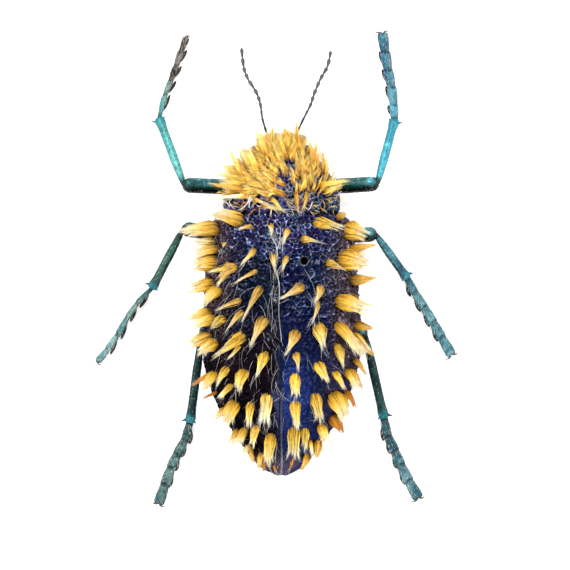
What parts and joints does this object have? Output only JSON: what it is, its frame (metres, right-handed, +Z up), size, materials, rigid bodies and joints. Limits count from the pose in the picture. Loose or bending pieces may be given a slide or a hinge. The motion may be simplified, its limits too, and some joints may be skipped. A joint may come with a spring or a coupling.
{
  "type": "beetle specimen",
  "caption": "Dried brush jewel beetle set with its legs spread: pitted blue wing cases with locks of golden hair, teal legs, saw-toothed antennae and a pin hole.",
  "frame": {"origin": "on the midline, on the flat of the underside that the specimen rests on", "axes": "+X to the beetle's right, +Y towards its head, +Z up from its back"},
  "size_m": [0.0361, 0.0479, 0.013],
  "materials": {
    "wing_case": "dark violet-blue metallic cuticle, coarsely pitted, glossy",
    "shield": "dark violet-blue metallic cuticle, pitted",
    "underside": "dark blue-green metallic cuticle",
    "leg": "teal to turquoise metallic cuticle, finely pitted",
    "foot": "blue-teal cuticle with dark pads and pale fringes",
    "antenna": "dark grey-green satin cuticle",
    "eye": "dark brown, smooth and shining",
    "hair": "locks of fine hair, golden at the root and cream at the tip"
  },
  "bodies": {
    "root": {"left_elytron": "wing_case", "right_elytron": "wing_case", "thorax": "underside", "abdomen": "underside", "pronotum": "shield", "head": "shield", "left_eye": "eye", "right_eye": "eye", "left_mandible": "antenna", "right_mandible": "antenna", "left_antenna": "antenna", "right_antenna": "antenna", "front_left_coxa": "underside", "front_left_femur": "leg", "front_left_tibia": "leg", "front_left_tarsus": "foot", "front_right_coxa": "underside", "front_right_femur": "leg", "front_right_tibia": "leg", "front_right_tarsus": "foot", "middle_left_coxa": "underside", "middle_left_femur": "leg", "middle_left_tibia": "leg", "middle_left_tarsus": "foot", "middle_right_coxa": "underside", "middle_right_femur": "leg", "middle_right_tibia": "leg", "middle_right_tarsus": "foot", "hind_left_coxa": "underside", "hind_left_femur": "leg", "hind_left_tibia": "leg", "hind_left_tarsus": "foot", "hind_right_coxa": "underside", "hind_right_femur": "leg", "hind_right_tibia": "leg", "hind_right_tarsus": "foot"}
  },
  "joints": []
}
